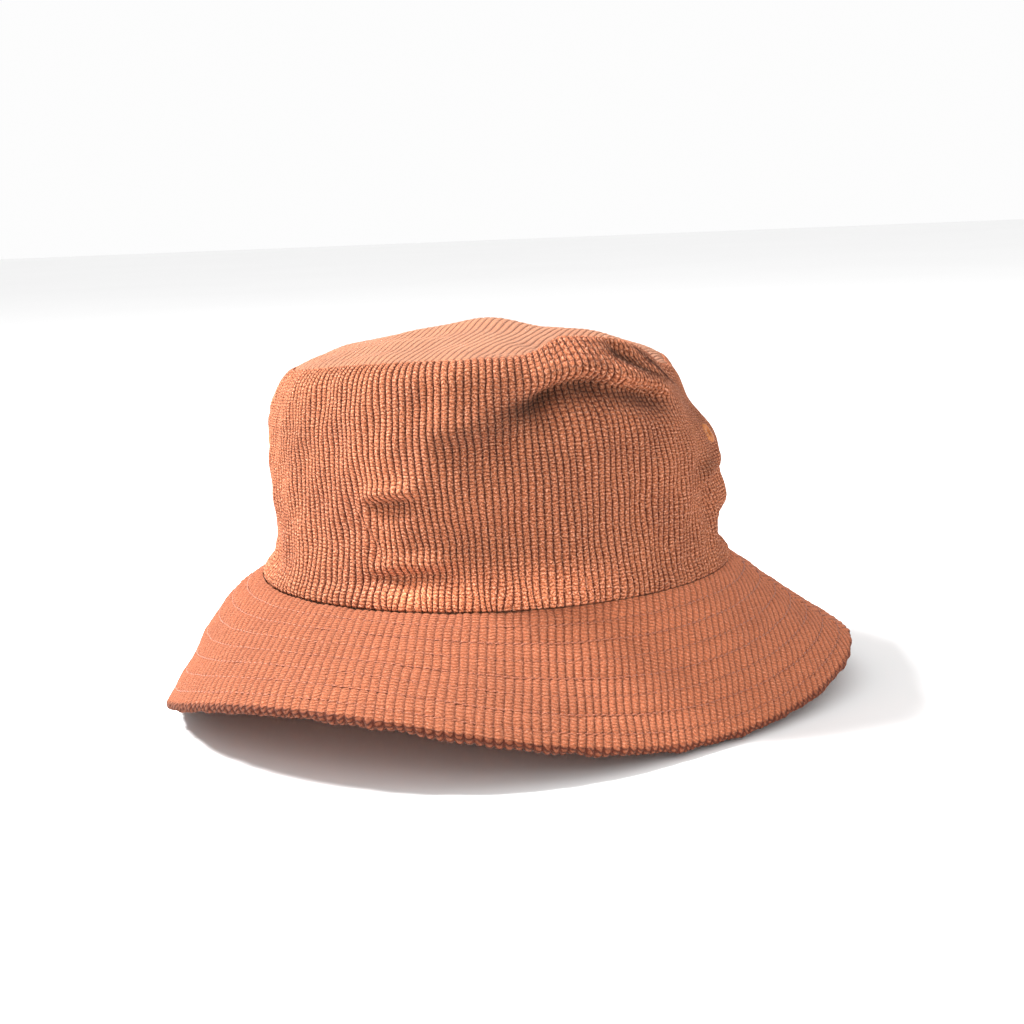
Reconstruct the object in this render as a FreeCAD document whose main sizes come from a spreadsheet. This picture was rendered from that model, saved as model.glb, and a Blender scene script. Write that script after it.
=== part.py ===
# A corduroy bucket hat: domed tip, two-panel crown, downturned wavy brim with rows of
# topstitching, four embroidered eyelets, lining, sweatband and two labels.
# Millimetres. +Z is up, the front faces -Y, and the brim stands on the plane Z = 0.
import FreeCAD, Part
import math
import os
import Sketcher

Vector = FreeCAD.Vector

doc = FreeCAD.newDocument("BucketHat")
sheet = doc.addObject("Spreadsheet::Sheet", "Sizes")

driving = [
    ("crown_width", 180, "outside width of the crown at the brim seam"),
    ("crown_length", 197, "outside length, front to back, at the brim seam"),
    ("crown_height", 86, "brim seam to tip seam"),
    ("top_narrowing", 3.5, "how far each side leans in below the shoulder"),
    ("shoulder", 7, "height and inset of the soft edge under the tip"),
    ("dome_rise", 7, "height of the tip's middle over its seam"),
    ("corduroy", 1.4, "thickness of the ribbed outer cloth"),
    ("lining_cloth", 0.4, "thickness of the lining cloth"),
    ("layer_gap", 0.2, "clearance between two layers of cloth"),
    ("brim_width", 57, "crown seam to rim along the cloth"),
    ("brim_slope", 42.4, "mean angle below level, in degrees"),
    ("lean_size", 3.5, "how much steeper the brim is on its steep side"),
    ("lean_way", 148, "bearing of the steep side, from the front towards +X"),
    ("oval_size", 2.6, "twofold change of slope"),
    ("oval_way", 68, "bearing of the twofold change"),
    ("wave_size", 10.6, "threefold wave of slope, which leaves three places to stand on"),
    ("wave_way", 34.5, "bearing of the first of the three low places"),
    ("curl_mean", -4.5, "half the turn of the brim across its width"),
    ("curl_side", 7.9, "how much more it turns on the +X side"),
    ("interlining", 0.5, "thickness of the stiffening inside the brim"),
    ("rim_fold", 2, "width of the turned edge"),
    ("row_first", 7, "crown seam to the first topstitch row"),
    ("row_pitch", 7.3, "from one topstitch row to the next"),
    ("thread", 0.5, "thickness of the sewing thread"),
    ("thread_gap", 0.02, "clearance between a thread and the cloth that it lies on"),
    ("band_seam", 2, "from the sweatband's upper edge down to its stitching"),
    ("band_height", 32, "height of the sweatband"),
    ("band_cloth", 0.8, "thickness of the sweatband"),
    ("band_lift", 0.6, "brim seam to the lower edge of sweatband and lining"),
    ("eyelet_hole", 1.6, "radius of the hole through an eyelet"),
    ("eyelet_outer", 4.1, "radius of the embroidered ring"),
    ("eyelet_wall", 0.7, "thickness of the thread round the hole"),
    ("eyelet_proud", 0.7, "how far the ring stands off the cloth"),
    ("eyelet_height", 53, "brim seam to the eyelet's centre"),
    ("eyelet_round", 0.5, "how far the ring's edges are rounded off"),
    ("eyelet_seat", 0.12, "gap between the ring and the cloth under it"),
    ("eyelet_back", 0.4, "thickness of the ring on the lining"),
    ("eyelet_spread", 12, "degrees from a side seam to each eyelet"),
    ("badge_width", 42, "woven label on the lining"),
    ("badge_height", 17, ""),
    ("badge_cloth", 0.5, ""),
    ("badge_above", 3, "from the sweatband to the label over it"),
    ("tag_width", 24, "care label that hangs free over the sweatband"),
    ("tag_height", 26, ""),
    ("tag_cloth", 0.5, ""),
    ("tag_gap", 1, "clearance between the hanging label and the sweatband"),
]
for line, (alias, number, note) in enumerate(driving, 1):
    sheet.set(f"A{line}", str(number))
    sheet.setAlias(f"A{line}", alias)
    sheet.set(f"B{line}", note)
doc.recompute()


def size(alias):
    return float(sheet.get(alias))


# ---- the brim's shape: an arc of constant length at each bearing round the crown ----

def outward(theta):
    across = Vector(math.sin(theta) / size("crown_width"), -math.cos(theta) / size("crown_length"), 0)
    return across.normalize()


def slope(theta):
    lean = size("lean_size") * math.cos(theta - math.radians(size("lean_way")))
    oval = size("oval_size") * math.cos(2 * (theta - math.radians(size("oval_way"))))
    wave = size("wave_size") * math.cos(3 * (theta - math.radians(size("wave_way"))))
    return math.radians(size("brim_slope") + lean + oval + wave)


def curl(theta):
    return math.radians(size("curl_mean") + size("curl_side") * math.sin(theta))


def brim_point(theta, along, depth):
    """Point at `along` from the crown seam and `depth` under the brim's upper face."""
    share = along / size("brim_width")
    half_turn = curl(theta) * share
    chord = along * (math.sin(half_turn) / half_turn if abs(half_turn) > 1e-6 else 1.0)
    mean = slope(theta) + curl(theta) * (1 - share)
    here = slope(theta) + curl(theta) * (1 - 2 * share)
    reach = chord * math.cos(mean) - depth * math.sin(here)
    drop = chord * math.sin(mean) + depth * math.cos(here)
    seam = Vector(
        size("crown_width") / 2 * math.sin(theta),
        -size("crown_length") / 2 * math.cos(theta),
        0,
    )
    return seam + outward(theta) * reach - Vector(0, 0, drop)


brim_depth = 2 * size("corduroy") + 2 * size("layer_gap") + size("interlining")
rim = [
    brim_point(math.radians(step), size("brim_width"), depth)
    for step in range(360)
    for depth in (0, brim_depth)
]

# Where the crown stands, so that the hat's box is centred on the origin and rests on Z = 0.
placing = [
    ("crown_x", -(min(p.x for p in rim) + max(p.x for p in rim)) / 2, "crown axis"),
    ("crown_y", -(min(p.y for p in rim) + max(p.y for p in rim)) / 2, "crown axis"),
    ("seam_level", -min(p.z for p in rim), "brim seam over the resting plane"),
]
for line, (alias, number, note) in enumerate(placing, len(driving) + 1):
    sheet.set(f"A{line}", f"{number:.3f}")
    sheet.setAlias(f"A{line}", alias)
    sheet.set(f"B{line}", note)
doc.recompute()
crown_spot = Vector(size("crown_x"), size("crown_y"), size("seam_level"))

kept = []


def keep(thing, label):
    thing.Label = label
    kept.append(thing)
    return thing


def stand_on_seam(thing):
    thing.setExpression("Placement.Base.x", "Sizes.crown_x")
    thing.setExpression("Placement.Base.y", "Sizes.crown_y")
    thing.setExpression("Placement.Base.z", "Sizes.seam_level")


# ---- sketches and features of the oval pieces ----

def origin_plane(body, role):
    return next(plane for plane in body.Origin.OriginFeatures if plane.Role == role)


def oval_sketch(body, name, inset, level, share="1"):
    """Ellipse of the crown's outline, drawn in by `inset` and scaled, at `level` over the brim seam."""
    sketch = body.newObject("Sketcher::SketchObject", name)
    sketch.AttachmentSupport = (origin_plane(body, "XY_Plane"), [""])
    sketch.MapMode = "FlatFace"
    sketch.setExpression("AttachmentOffset.Base.z", level)
    across = f"(Sizes.crown_width - 2 * ({inset})) * {share}"
    along = f"(Sizes.crown_length - 2 * ({inset})) * {share}"
    half_x = float(sketch.evalExpression(across)) / 2
    half_y = float(sketch.evalExpression(along)) / 2
    tip_x = Vector(half_x, 0, 0)
    tip_y = Vector(0, half_y, 0)
    long_in_y = half_y >= half_x
    ends = (tip_y, tip_x) if long_in_y else (tip_x, tip_y)
    sketch.addGeometry(Part.Ellipse(ends[0], ends[1], Vector(0, 0, 0)), False)
    sketch.exposeInternalGeometry(0)
    sketch.addConstraint(Sketcher.Constraint("Coincident", 0, 3, -1, 1))
    sketch.addConstraint(Sketcher.Constraint("Vertical" if long_in_y else "Horizontal", 1))
    major = sketch.addConstraint(Sketcher.Constraint("Distance", 1, 2 * ends[0].Length))
    minor = sketch.addConstraint(Sketcher.Constraint("Distance", 2, 2 * ends[1].Length))
    sketch.setExpression(f"Constraints[{major}]", along if long_in_y else across)
    sketch.setExpression(f"Constraints[{minor}]", across if long_in_y else along)
    return sketch


def oval_loft(body, kind, name, sections):
    sketches = [
        oval_sketch(body, f"{name}_{number}", *section)
        for number, section in enumerate(sections)
    ]
    loft = body.newObject(f"PartDesign::{kind}", name)
    loft.Profile = sketches[0]
    loft.Sections = sketches[1:]
    loft.Ruled = True
    doc.recompute()
    return loft


def oval_shell(name, outer, inner):
    """Body between two stacks of ovals, each a list of inset and level, and a scale if any."""
    body = doc.addObject("PartDesign::Body", name)
    filled = oval_loft(body, "AdditiveLoft", f"{name}_outside", outer)
    before = filled.Shape.Volume
    hollow = oval_loft(body, "SubtractiveLoft", f"{name}_inside", inner)
    body.Tip = hollow
    doc.recompute()
    if not 0 < body.Shape.Volume < 0.6 * before:
        raise RuntimeError(f"{name}: the inside was not hollowed out")
    stand_on_seam(body)
    return body


def box_at(name, corner, lengths):
    """Box over the crown, from expressions for its low corner and its three lengths."""
    box = doc.addObject("Part::Box", name)
    for prop, text in zip(("Length", "Width", "Height"), lengths):
        box.setExpression(prop, text)
    for axis, text, spot in zip("xyz", corner, ("crown_x", "crown_y", "seam_level")):
        box.setExpression(f"Placement.Base.{axis}", f"Sizes.{spot} + ({text})")
    return box


def trimmed(kind, label, base, tool):
    """The part of `base` inside (Common) or outside (Cut) the tool."""
    piece = doc.addObject(f"Part::{kind}", label)
    piece.Base = base
    piece.Tool = tool
    piece.Refine = False
    return keep(piece, label)



margin = 20
front_half = box_at(
    "front_half",
    (f"-Sizes.crown_width / 2 - {margin}", f"-Sizes.crown_length / 2 - {margin}", f"-{margin}"),
    (f"Sizes.crown_width + {2 * margin}", f"Sizes.crown_length / 2 + {margin}",
     f"Sizes.crown_height + {2 * margin}"),
)
back_half = box_at(
    "back_half",
    (f"-Sizes.crown_width / 2 - {margin}", "0", f"-{margin}"),
    (f"Sizes.crown_width + {2 * margin}", f"Sizes.crown_length / 2 + {margin}",
     f"Sizes.crown_height + {2 * margin}"),
)

# ---- insets and levels, from the outside of the crown inwards ----

shoulder_level = "Sizes.crown_height - Sizes.shoulder"
lean = "Sizes.top_narrowing"
top_inset = "Sizes.top_narrowing + Sizes.shoulder"
under_cloth = "Sizes.corduroy + Sizes.layer_gap"
tip_under = "Sizes.crown_height - Sizes.corduroy - Sizes.layer_gap"
band_out = f"{under_cloth} + Sizes.lining_cloth + Sizes.layer_gap"
band_in = f"{band_out} + Sizes.band_cloth"
band_top = "Sizes.band_lift + Sizes.band_height"
band_lean = f"Sizes.top_narrowing * ({band_top}) / ({shoulder_level})"


def wall_at(inset, level):
    """Inset of a layer at a level of the leaning wall."""
    return f"{inset} + Sizes.top_narrowing * ({level}) / ({shoulder_level})"


# ---- eyelets: where they sit, and the holes they need ----

def eyelet_placement(theta, along_axis):
    level = size("eyelet_height")
    wall = size("crown_height") - size("shoulder")
    inset = size("top_narrowing") * level / wall
    centre = Vector(
        (size("crown_width") / 2 - inset) * math.sin(theta),
        -(size("crown_length") / 2 - inset) * math.cos(theta),
        level,
    )
    tilt = math.atan2(size("top_narrowing"), wall)
    axis = outward(theta) * math.cos(tilt) + Vector(0, 0, math.sin(tilt))
    turn = FreeCAD.Rotation(Vector(0, 0, 1), axis)
    return FreeCAD.Placement(crown_spot + centre + axis * along_axis, turn)


bearings = {
    "right_front": 90 - size("eyelet_spread"),
    "right_back": 90 + size("eyelet_spread"),
    "left_back": -90 - size("eyelet_spread"),
    "left_front": -90 + size("eyelet_spread"),
}
drills = []
drill_reach = 6
for place, bearing in bearings.items():
    drill = doc.addObject("Part::Cylinder", f"drill_{place}")
    drill.setExpression("Radius", "Sizes.eyelet_hole + Sizes.eyelet_wall + 0.1")
    drill.Height = 2 * drill_reach
    drill.Placement = eyelet_placement(math.radians(bearing), -drill_reach)
    drills.append(drill)
holes = doc.addObject("Part::MultiFuse", "eyelet_holes")
holes.Shapes = drills


def pierced(wall, name):
    cut = doc.addObject("Part::Cut", name)
    cut.Base = wall
    cut.Tool = holes
    return cut


# ---- crown and lining walls, in a front and a back panel each ----

crown_wall = oval_shell(
    "crown_wall",
    [("0", "0"), (lean, shoulder_level), (top_inset, "Sizes.crown_height")],
    [("Sizes.corduroy", "0"), (f"{lean} + Sizes.corduroy", shoulder_level),
     (f"{top_inset} + Sizes.corduroy", "Sizes.crown_height")],
)
crown_pierced = pierced(crown_wall, "crown_pierced")
trimmed("Cut", "crown_panel_front", crown_pierced, back_half)
trimmed("Cut", "crown_panel_back", crown_pierced, front_half)

lining_foot = "Sizes.band_lift"
lining_wall = oval_shell(
    "lining_wall",
    [(wall_at(under_cloth, lining_foot), lining_foot), (f"{lean} + {under_cloth}", shoulder_level),
     (f"{top_inset} + {under_cloth}", tip_under)],
    [(f"{wall_at(under_cloth, lining_foot)} + Sizes.lining_cloth", lining_foot),
     (f"{lean} + {under_cloth} + Sizes.lining_cloth", shoulder_level),
     (f"{top_inset} + {under_cloth} + Sizes.lining_cloth", tip_under)],
)
lining_pierced = pierced(lining_wall, "lining_pierced")
trimmed("Cut", "lining_side_front", lining_pierced, back_half)
trimmed("Cut", "lining_side_back", lining_pierced, front_half)

# ---- domed tip and lining tip ----

knife = "0.05"


def domed_disc(label, edge_inset, level, cloth):
    """Shallow dome whose upper edge is at `level`: a vertical edge, then smaller and higher ovals."""
    outer = [(edge_inset, f"{level} - {cloth}")]
    inner = []
    for share in (1, 0.7, 0.4, 0.1):
        height = f"{level} + {1 - share ** 2:.2f} * Sizes.dome_rise"
        outer.append((edge_inset, height, share))
        inner.append((f"{edge_inset} + {knife}", f"{height} - {cloth}", share))
    return keep(oval_shell(label, outer, inner), label)


domed_disc("tip_panel", f"{top_inset} + {under_cloth}", "Sizes.crown_height", "Sizes.corduroy")
domed_disc(
    "lining_tip",
    f"{top_inset} + {under_cloth} + Sizes.lining_cloth + Sizes.layer_gap",
    tip_under,
    "Sizes.lining_cloth",
)

# ---- sweatband and the blank woven label over it ----

keep(oval_shell(
    "sweatband",
    [(wall_at(band_out, "Sizes.band_lift"), "Sizes.band_lift"), (wall_at(band_out, band_top), band_top)],
    [(wall_at(band_in, "Sizes.band_lift"), "Sizes.band_lift"), (wall_at(band_in, band_top), band_top)],
), "sweatband")

badge_foot = f"{band_top} + Sizes.badge_above"
badge_head = f"{badge_foot} + Sizes.badge_height"
badge_face = f"{band_out} + Sizes.badge_cloth"
badge_layer = oval_shell(
    "badge_layer",
    [(wall_at(band_out, badge_foot), badge_foot), (wall_at(band_out, badge_head), badge_head)],
    [(wall_at(badge_face, badge_foot), badge_foot), (wall_at(badge_face, badge_head), badge_head)],
)
badge_box = box_at(
    "badge_box",
    ("-Sizes.badge_width / 2", "0", badge_foot),
    ("Sizes.badge_width", "Sizes.crown_length", "Sizes.badge_height"),
)
trimmed("Common", "woven_label", badge_layer, badge_box)


# ---- stitching on the crown: thin rings and two upright rows ----

def thread_ring(label, inset, level):
    foot = f"({level}) - Sizes.thread / 2"
    head = f"({level}) + Sizes.thread / 2"
    outer = f"{inset} - Sizes.thread - Sizes.thread_gap"
    inner = f"{inset} - Sizes.thread_gap"
    ring = oval_shell(label, [(outer, foot), (outer, head)], [(inner, foot), (inner, head)])
    return keep(ring, label)


thread_ring("crown_seam_thread", "0", "1.5")
thread_ring("tip_seam_thread", f"{top_inset} - 1.2", "Sizes.crown_height - 0.8")
thread_ring("sweatband_thread", f"{band_in} + Sizes.thread + {band_lean} + 5 * Sizes.thread_gap",
            f"{band_top} - Sizes.band_seam")

seam_foot = "4"
seam_layer = oval_shell(
    "seam_layer",
    [(f"{wall_at('0', seam_foot)} - Sizes.thread", seam_foot), (f"{lean} - Sizes.thread", shoulder_level)],
    [
        (wall_at("-Sizes.thread_gap", seam_foot), seam_foot),
        (f"{lean} - Sizes.thread_gap", shoulder_level),
    ],
)
for side, corner in (("left", "-Sizes.crown_width / 2 - 5"), ("right", "0")):
    strip = box_at(
        f"strip_{side}",
        (corner, "-Sizes.thread / 2", "0"),
        ("Sizes.crown_width / 2 + 5", "Sizes.thread", "Sizes.crown_height"),
    )
    trimmed("Common", f"side_seam_thread_{side}", seam_layer, strip)


# ---- embroidered eyelets: a spool-shaped ring that holds crown and lining together ----

def outline_sketch(body, name, role, points):
    """Closed outline whose corners are pairs of expressions, measured from the origin."""
    sketch = body.newObject("Sketcher::SketchObject", name)
    sketch.AttachmentSupport = (origin_plane(body, role), [""])
    sketch.MapMode = "FlatFace"
    spots = [
        Vector(float(sketch.evalExpression(x)), float(sketch.evalExpression(y)), 0)
        for x, y in points
    ]
    for number, spot in enumerate(spots):
        following = spots[(number + 1) % len(spots)]
        sketch.addGeometry(Part.LineSegment(spot, following), False)
    for number, (x, y) in enumerate(points):
        after = (number + 1) % len(points)
        sketch.addConstraint(Sketcher.Constraint("Coincident", number, 2, after, 1))
        for kind, text, value in (("DistanceX", x, spots[number].x), ("DistanceY", y, spots[number].y)):
            index = sketch.addConstraint(Sketcher.Constraint(kind, -1, 1, number, 1, value))
            sketch.setExpression(f"Constraints[{index}]", text)
    return sketch


hole = "Sizes.eyelet_hole"
throat = "(Sizes.eyelet_hole + Sizes.eyelet_wall)"
flange = "Sizes.eyelet_outer"
grip = "(Sizes.corduroy + Sizes.layer_gap + Sizes.lining_cloth + 0.15)"
spool = [
    (hole, f"-({grip}) - Sizes.eyelet_back"),
    (flange, f"-({grip}) - Sizes.eyelet_back"),
    (flange, f"-({grip})"),
    (throat, f"-({grip})"),
    (throat, "Sizes.eyelet_seat"),
    (flange, "Sizes.eyelet_seat"),
    (f"{flange} - Sizes.eyelet_round", "Sizes.eyelet_proud"),
    (f"{hole} + Sizes.eyelet_round", "Sizes.eyelet_proud"),
    (hole, "Sizes.eyelet_proud - Sizes.eyelet_round"),
]
for place, bearing in bearings.items():
    body = doc.addObject("PartDesign::Body", f"eyelet_{place}")
    profile = outline_sketch(body, f"spool_{place}", "XZ_Plane", spool)
    turned = body.newObject("PartDesign::Revolution", f"turned_{place}")
    turned.Profile = profile
    turned.ReferenceAxis = (profile, ["V_Axis"])
    turned.Angle = 360
    body.Tip = turned
    body.Placement = eyelet_placement(math.radians(bearing), 0)
    keep(body, f"eyelet_{place}")

# ---- care label: hangs from the top of the sweatband at the back ----

tag = doc.addObject("PartDesign::Body", "care_label")
tag_side = "(Sizes.tag_width / 2)"
tag_sketch = outline_sketch(tag, "tag_outline", "XZ_Plane", [
    (f"-{tag_side}", "-Sizes.tag_height"),
    (tag_side, "-Sizes.tag_height"),
    (tag_side, "0"),
    (f"-{tag_side}", "0"),
])
tag_pad = tag.newObject("PartDesign::Pad", "tag_pad")
tag_pad.Profile = tag_sketch
tag_pad.setExpression("Length", "Sizes.tag_cloth")
tag.Tip = tag_pad
# The label is flat and the band is curved, so the label's side edges come nearest to it.
sagitta = "Sizes.tag_width * Sizes.tag_width / 4 * Sizes.crown_length / Sizes.crown_width / Sizes.crown_width"
tag.setExpression("Placement.Base.x", "Sizes.crown_x")
tag.setExpression(
    "Placement.Base.y",
    f"Sizes.crown_y + Sizes.crown_length / 2 - ({wall_at(band_in, band_top)}) - {sagitta} - Sizes.tag_gap",
)
tag.setExpression("Placement.Base.z", f"Sizes.seam_level + {band_top}")
keep(tag, "care_label")


# ---- the brim: upper and under cloth, stiffening between them, rows of stitching ----

def brim_section(theta, corners):
    """Closed outline across the brim; a pair of corners at one depth is joined by a curve."""
    edges = []
    for number, (along, depth) in enumerate(corners):
        next_along, next_depth = corners[(number + 1) % len(corners)]
        first = brim_point(theta, along, depth)
        last = brim_point(theta, next_along, next_depth)
        if depth == next_depth:
            middle = brim_point(theta, (along + next_along) / 2, depth)
            curve = Part.BSplineCurve()
            curve.interpolate([first, middle, last])
            edges.append(curve.toShape())
        else:
            edges.append(Part.makeLine(first, last))
    return Part.Wire(edges)


def brim_piece(label, start, stop, corners, steps):
    """Solid lofted through the same outline at even bearings, in degrees."""
    bearings_here = [math.radians(start + (stop - start) * n / steps) for n in range(steps + 1)]
    closed_ring = abs(stop - start) == 360
    if closed_ring:
        bearings_here = bearings_here[:-1]
    sections = [brim_section(theta, corners) for theta in bearings_here]
    piece = doc.addObject("Part::Feature", label)
    piece.Shape = Part.makeLoft(sections, True, False, closed_ring)
    piece.Placement = FreeCAD.Placement(crown_spot, FreeCAD.Rotation())
    return keep(piece, label)


width = size("brim_width")
cloth = size("corduroy")
gap = size("layer_gap")
fold = size("rim_fold")
stiff_top = cloth + gap
under_top = stiff_top + size("interlining") + gap
under_bottom = under_top + cloth
half_steps = 24
clear_edge = 0.2

upper_outline = [
    (0, 0), (width, 0), (width, under_bottom), (width - fold, under_bottom),
    (width - fold, cloth), (0, cloth),
]
stiff_outline = [
    (1, stiff_top), (width - fold - clear_edge, stiff_top),
    (width - fold - clear_edge, stiff_top + size("interlining")), (1, stiff_top + size("interlining")),
]
under_outline = [
    (0, under_top), (width - fold - clear_edge, under_top),
    (width - fold - clear_edge, under_bottom - 0.1), (0, under_bottom - 0.1),
]
for part_name, start in (("front", -90), ("back", 90)):
    brim_piece(f"brim_upper_{part_name}", start, start + 180, upper_outline, half_steps)
    brim_piece(f"brim_interlining_{part_name}", start, start + 180, stiff_outline, half_steps)
    brim_piece(f"brim_under_{part_name}", start, start + 180, under_outline, half_steps)

row = size("row_first")
number = 1
while row < width - fold - size("thread"):
    half = size("thread") / 2
    row_outline = [(row - half, -0.03 - size("thread")), (row + half, -0.03 - size("thread")),
                   (row + half, -0.03), (row - half, -0.03)]
    brim_piece(f"brim_stitch_row_{number}", -90, 270, row_outline, 2 * half_steps)
    row += size("row_pitch")
    number += 1

# ---- check everything, then write each sub-part ----

doc.recompute()
for thing in doc.Objects:
    if "Invalid" in thing.State or "Error" in thing.State:
        raise RuntimeError(f"{thing.Label} failed: {thing.State}")
for thing in kept:
    if thing.Shape.isNull() or not thing.Shape.isValid():
        raise RuntimeError(f"{thing.Label} has no valid shape")
os.makedirs("parts", exist_ok=True)
for thing in kept:
    thing.Shape.exportStep(f"parts/{thing.Label}.step")
print(len(kept), "sub-parts written")
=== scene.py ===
import bpy
import math
import numpy as np
from math import cos, pi, radians, sin
from mathutils import Matrix, Vector


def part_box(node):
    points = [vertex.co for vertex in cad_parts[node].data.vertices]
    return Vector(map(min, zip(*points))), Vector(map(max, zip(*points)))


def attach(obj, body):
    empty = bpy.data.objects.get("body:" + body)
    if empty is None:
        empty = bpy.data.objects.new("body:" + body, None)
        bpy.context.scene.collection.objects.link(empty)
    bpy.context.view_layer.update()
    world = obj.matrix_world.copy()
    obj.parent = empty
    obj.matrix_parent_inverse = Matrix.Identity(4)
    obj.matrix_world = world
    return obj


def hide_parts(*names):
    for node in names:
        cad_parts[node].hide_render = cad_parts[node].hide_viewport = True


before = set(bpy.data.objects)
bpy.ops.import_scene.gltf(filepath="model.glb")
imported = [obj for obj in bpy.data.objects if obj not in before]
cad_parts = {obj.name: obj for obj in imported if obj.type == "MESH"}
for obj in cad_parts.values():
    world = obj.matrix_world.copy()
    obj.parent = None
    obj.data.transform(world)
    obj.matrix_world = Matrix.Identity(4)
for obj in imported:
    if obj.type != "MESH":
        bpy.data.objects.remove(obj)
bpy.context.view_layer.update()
mm = 0.001
scene = bpy.context.scene

# Everything below is worked out in millimetres about one point: the crown's axis at the brim
# seam. The frame says where that is, and how wide, long and high the crown stands.
panelLow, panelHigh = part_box("crown_panel_front")
crownSpot = np.array([(panelLow[0] + panelHigh[0]) / 2, panelHigh[1], panelLow[2]]) / mm
halfWidth = (panelHigh[0] - panelLow[0]) / 2 / mm
halfLength = (panelHigh[1] - panelLow[1]) / mm
crown = {
    "height": (panelHigh[2] - panelLow[2]) / mm,
    "lean": 3.5,  # each side leans in this far below the shoulder
    "shoulder": 7.0,  # radius of the soft edge under the tip seam
    "domeRise": 2.8,
}


# Small helpers.

def ease(value, start, stop):
    share = np.clip((value - start) / (stop - start), 0, 1)
    return share * share * (3 - 2 * share)


def bell(value, centre, width):
    return np.exp(-((value - centre) / width) ** 2)


def unit(vectors):
    return vectors / np.linalg.norm(vectors, axis=-1, keepdims=True)


def turnBetween(theta, centre):
    return (theta - radians(centre) + pi) % (2 * pi) - pi


def around(theta, centre, spread):
    # 1 at a bearing, falling to 0 either side of it
    return bell(turnBetween(theta, centre), 0, radians(spread))


def ripple(x, y, span, seed):
    # smooth uneven waves about `span` long, between about -1 and 1
    draw = np.random.default_rng(seed)
    total = 0
    for _ in range(5):
        heading, phase = draw.uniform(0, 2 * pi, 2)
        pace = 2 * pi / span * draw.uniform(0.6, 1.5)
        total = total + np.sin((x * cos(heading) + y * sin(heading)) * pace + phase)
    return total / 2.6


def outward(theta):
    return unit(np.stack([np.sin(theta) / halfWidth, -np.cos(theta) / halfLength, 0 * theta], axis=-1))


def seamPoint(theta):
    return np.stack([halfWidth * np.sin(theta), -halfLength * np.cos(theta), 0 * theta], axis=-1)


bearingTable = np.linspace(-pi, pi, 1441)
speedTable = np.hypot(halfWidth * np.cos(bearingTable), halfLength * np.sin(bearingTable))
arcSteps = (speedTable[1:] + speedTable[:-1]) / 2 * np.diff(bearingTable)
arcTable = np.concatenate([[0], np.cumsum(arcSteps)])
arcTable -= arcTable[len(arcTable) // 2]  # 0 at the front centre
quarter = float(np.interp(pi / 2, bearingTable, arcTable))  # front centre to a side seam
seamRound = 4 * quarter


def bearingAt(arc):
    # bearing of a place this far round the brim seam from the front centre, towards +X
    turns = np.round(arc / seamRound)
    return np.interp(arc - turns * seamRound, arcTable, bearingTable) + turns * 2 * pi


def meshPiece(name, points, faces, cloth, tone=None):
    mesh = bpy.data.meshes.new(name)
    corners = np.asarray(faces, dtype=np.int32)
    size = corners.shape[1]
    mesh.vertices.add(len(points))
    mesh.vertices.foreach_set("co", ((points + crownSpot) * mm).astype(np.float32).ravel())
    mesh.loops.add(corners.size)
    mesh.loops.foreach_set("vertex_index", corners.ravel())
    mesh.polygons.add(len(corners))
    mesh.polygons.foreach_set("loop_start", np.arange(0, corners.size, size, dtype=np.int32))
    mesh.polygons.foreach_set("use_smooth", np.ones(len(corners), dtype=bool))
    mesh.update(calc_edges=True)
    mesh.validate()
    marks = mesh.attributes.new("cloth", "FLOAT_VECTOR", "POINT")
    marks.data.foreach_set("vector", cloth.astype(np.float32).ravel())
    # painted light and shade, stored on the points as a colour scale
    if tone is not None:
        paintedShadings = mesh.attributes.new("tone", "FLOAT", "POINT")
        paintedShadings.data.foreach_set("value", tone.astype(np.float32).ravel())
    piece = bpy.data.objects.new(name, mesh)
    scene.collection.objects.link(piece)
    return piece


def gridFaces(rows, columns, ringColumns=False, ringRows=False):
    row, column = np.meshgrid(np.arange(rows if ringRows else rows - 1),
                              np.arange(columns if ringColumns else columns - 1), indexing="ij")
    below, beside = (row + 1) % rows, (column + 1) % columns
    corners = [row * columns + column, row * columns + beside, below * columns + beside,
               below * columns + column]
    return np.stack([c.ravel() for c in corners], axis=1)


def gridPiece(name, points, cloth, skip=None, tone=None, **rings):
    # a piece from a grid of rows by columns of points; skip marks the points of faces left out
    rows, columns = points.shape[:2]
    faces = gridFaces(rows, columns, **rings)
    flat = points.reshape(-1, 3)
    if skip is not None:
        faces = faces[~skip.ravel()[faces].any(axis=1)]
    used = np.zeros(len(flat), dtype=bool)
    used[faces] = True
    order = np.cumsum(used) - 1
    paintedShadings = None if tone is None else tone.ravel()[used]
    return meshPiece(name, flat[used], order[faces], cloth.reshape(-1, 3)[used], paintedShadings)


# The soft shape: how the worn crown slumps and folds. Lengths are mm, bearings degrees.

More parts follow.
